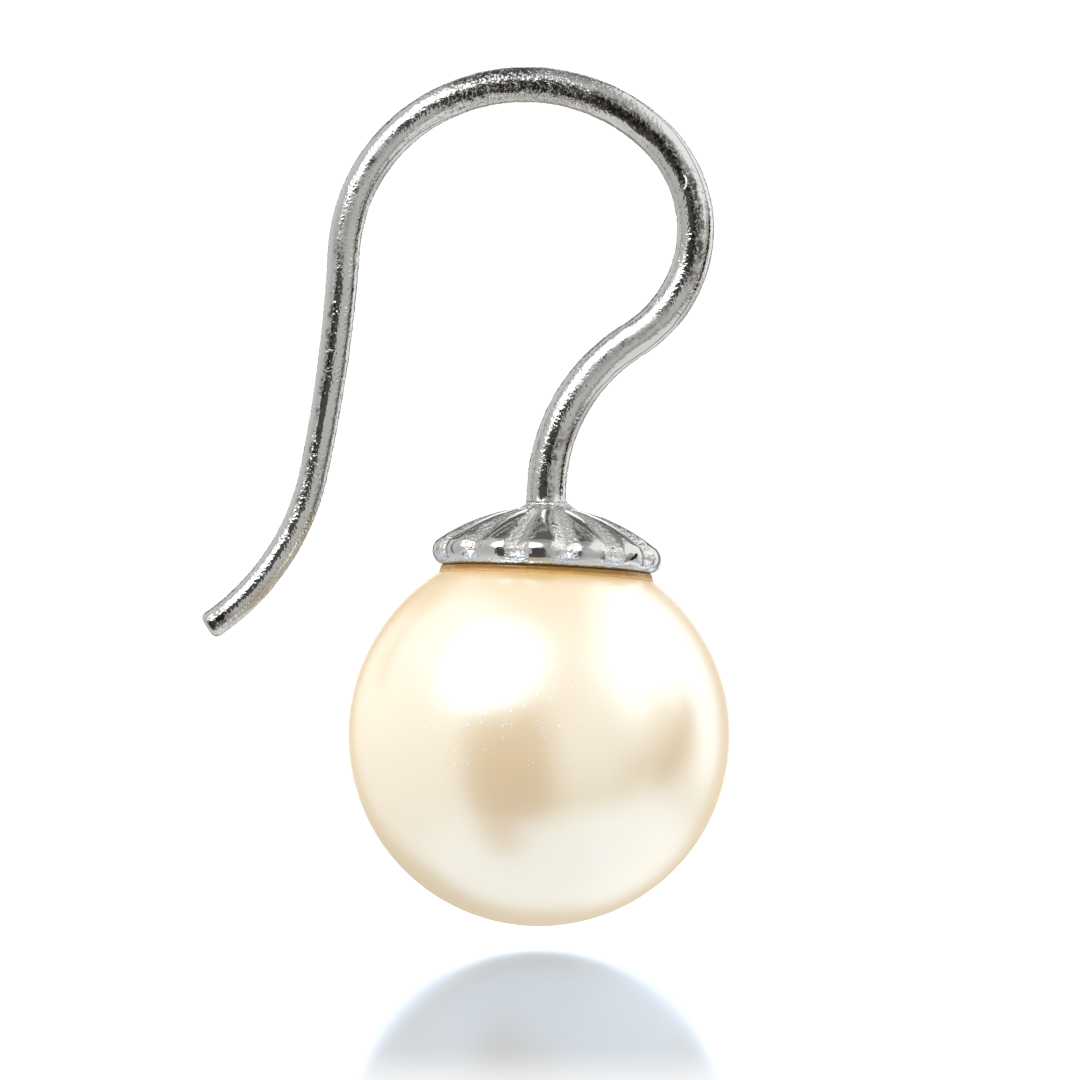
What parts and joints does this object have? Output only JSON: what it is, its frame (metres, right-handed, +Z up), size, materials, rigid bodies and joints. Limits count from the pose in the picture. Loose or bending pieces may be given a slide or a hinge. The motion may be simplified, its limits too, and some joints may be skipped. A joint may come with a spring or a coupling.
{
  "type": "pearl drop earring",
  "caption": "Fish-hook drop earring: a round cream crystal pearl cemented in a fluted silver cup, cast in one with its tapered open ear wire.",
  "frame": {"origin": "underside of the wire at the crown of the hook, where the earring hangs", "axes": "+Z up as the earring hangs, the hook in the XZ plane with its tail to -X, +Y to the back"},
  "size_m": [0.0139, 0.01, 0.0225],
  "materials": {
    "silver": "cast and polished silver, bright, finely pitted",
    "crystal_pearl": "cream pearl lacquer over a crystal bead, glossy",
    "amber_cement": "cured amber cement"
  },
  "bodies": {
    "root": {"ear_hook": "silver", "pearl": "crystal_pearl", "cement": "amber_cement"}
  },
  "joints": []
}
